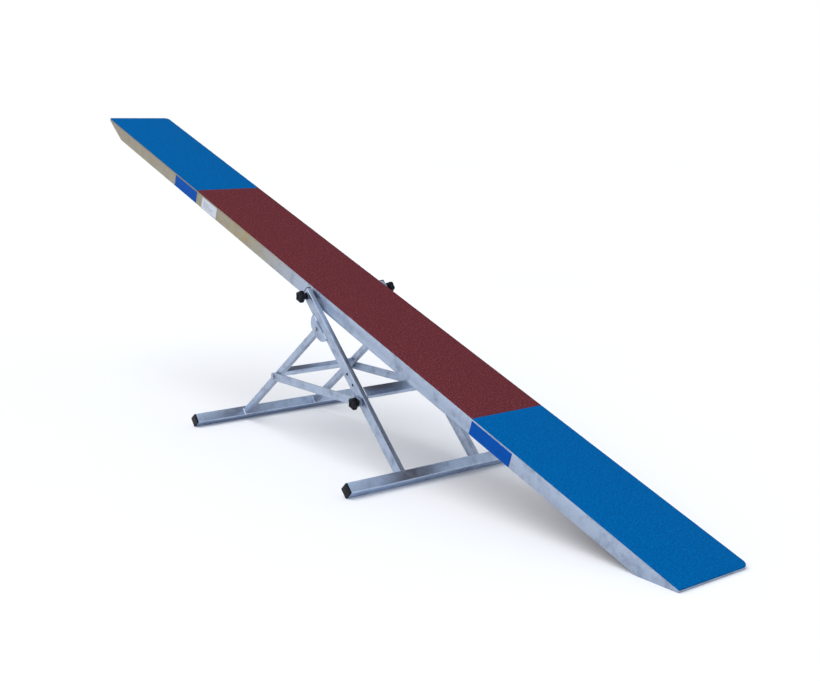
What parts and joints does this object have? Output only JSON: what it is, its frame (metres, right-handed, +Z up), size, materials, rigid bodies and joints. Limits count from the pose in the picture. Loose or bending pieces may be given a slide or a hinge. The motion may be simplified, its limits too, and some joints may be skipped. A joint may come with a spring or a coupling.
{
  "type": "dog agility seesaw",
  "caption": "Tilting rubber-topped walking plank on a folding tube trestle, with contact zones at both ends and hand knobs that let the stand fold flat.",
  "frame": {"origin": "on the ground, on the plank's centre plane, under the tilt axis", "axes": "+X along the plank towards the end that rests on the ground, +Y across it, +Z up"},
  "size_m": [3.5081, 0.836, 1.1941],
  "materials": {
    "aluminium": "mill finish, lightly stained",
    "blue_rubber": "granulate, matt",
    "red_rubber": "granulate, matt",
    "blue_film": "self-adhesive film",
    "white_film": "self-adhesive label",
    "black_plastic": "moulded",
    "steel": "zinc plated"
  },
  "bodies": {
    "front_frame": {"front_leg_near": "aluminium", "front_leg_far": "aluminium", "leg_cap_near": "black_plastic", "leg_cap_far": "black_plastic", "front_floor_bar": "aluminium", "front_bar_cap_near": "black_plastic", "front_bar_cap_far": "black_plastic", "front_crossbar": "aluminium", "hinge_plate_inner_near": "aluminium", "hinge_plate_outer_near": "aluminium", "hinge_plate_inner_far": "aluminium", "hinge_plate_outer_far": "aluminium", "hinge_bolt_near": "steel", "hinge_bolt_far": "steel", "hinge_nut_near": "steel", "hinge_nut_far": "steel", "pivot_bush_near": "black_plastic", "pivot_bush_far": "black_plastic"},
    "rear_frame": {"rear_leg_near": "aluminium", "rear_leg_far": "aluminium", "rear_floor_bar": "aluminium", "rear_bar_cap_near": "black_plastic", "rear_bar_cap_far": "black_plastic", "rear_crossbar": "aluminium", "brace_bolt_near": "steel", "brace_bolt_far": "steel", "brace_spacer_near": "steel", "brace_spacer_far": "steel"},
    "plank": {"rubber_low": "blue_rubber", "rubber_middle": "red_rubber", "rubber_high": "blue_rubber", "deck_sheet": "aluminium", "rail_near": "aluminium", "rail_far": "aluminium", "nose_bar_low": "aluminium", "nose_bar_high": "aluminium", "deck_rib_1": "aluminium", "deck_rib_2": "aluminium", "deck_rib_3": "aluminium", "deck_rib_4": "aluminium", "axle_tube": "steel", "side_band_low_near": "blue_film", "side_band_low_far": "blue_film", "side_band_high_near": "blue_film", "side_band_high_far": "blue_film", "side_label": "white_film"},
    "brace_arm_near": {"brace_near": "aluminium"},
    "brace_arm_far": {"brace_far": "aluminium"},
    "brace_screw_near": {"brace_knob_near": "black_plastic", "brace_stud_near": "steel", "brace_washer_near": "steel"},
    "brace_screw_far": {"brace_knob_far": "black_plastic", "brace_stud_far": "steel", "brace_washer_far": "steel"},
    "pivot_screw_near": {"pivot_knob_near": "black_plastic", "pivot_stud_near": "steel", "pivot_washer_near": "steel"},
    "pivot_screw_far": {"pivot_knob_far": "black_plastic", "pivot_stud_far": "steel", "pivot_washer_far": "steel"}
  },
  "joints": [
    {"name": "plank_tilt", "type": "hinge", "parent": "front_frame", "child": "plank", "pos_m": [0, 0, 0.57327], "axis": [0, -1, 0], "range_deg": [0, 37.3]},
    {"name": "base_fold", "type": "hinge", "parent": "front_frame", "child": "rear_frame", "pos_m": [0.06513, 0, 0.45924], "axis": [0, -1, 0], "range_deg": [0, 92]},
    {"name": "brace_swing_near", "type": "hinge", "parent": "rear_frame", "child": "brace_arm_near", "pos_m": [-0.22509, -0.187, 0.22813], "axis": [0, -1, 0], "range_deg": [0, 24]},
    {"name": "brace_swing_far", "type": "hinge", "parent": "rear_frame", "child": "brace_arm_far", "pos_m": [-0.22509, 0.187, 0.22813], "axis": [0, -1, 0], "range_deg": [0, 24]},
    {"name": "brace_knob_turn_near", "type": "hinge", "parent": "brace_arm_near", "child": "brace_screw_near", "pos_m": [0.34658, -0.2, 0.23974], "axis": [0, 1, 0], "continuous": true},
    {"name": "brace_knob_turn_far", "type": "hinge", "parent": "brace_arm_far", "child": "brace_screw_far", "pos_m": [0.34658, 0.2, 0.23974], "axis": [0, 1, 0], "continuous": true},
    {"name": "pivot_knob_turn_near", "type": "hinge", "parent": "front_frame", "child": "pivot_screw_near", "pos_m": [0, -0.2, 0.57327], "axis": [0, 1, 0], "continuous": true},
    {"name": "pivot_knob_turn_far", "type": "hinge", "parent": "front_frame", "child": "pivot_screw_far", "pos_m": [0, 0.2, 0.57327], "axis": [0, 1, 0], "continuous": true}
  ],
  "couplings": [
    {"joint": "brace_swing_near", "follows": "base_fold", "ratio": 0.26},
    {"joint": "brace_swing_far", "follows": "base_fold", "ratio": 0.26}
  ]
}
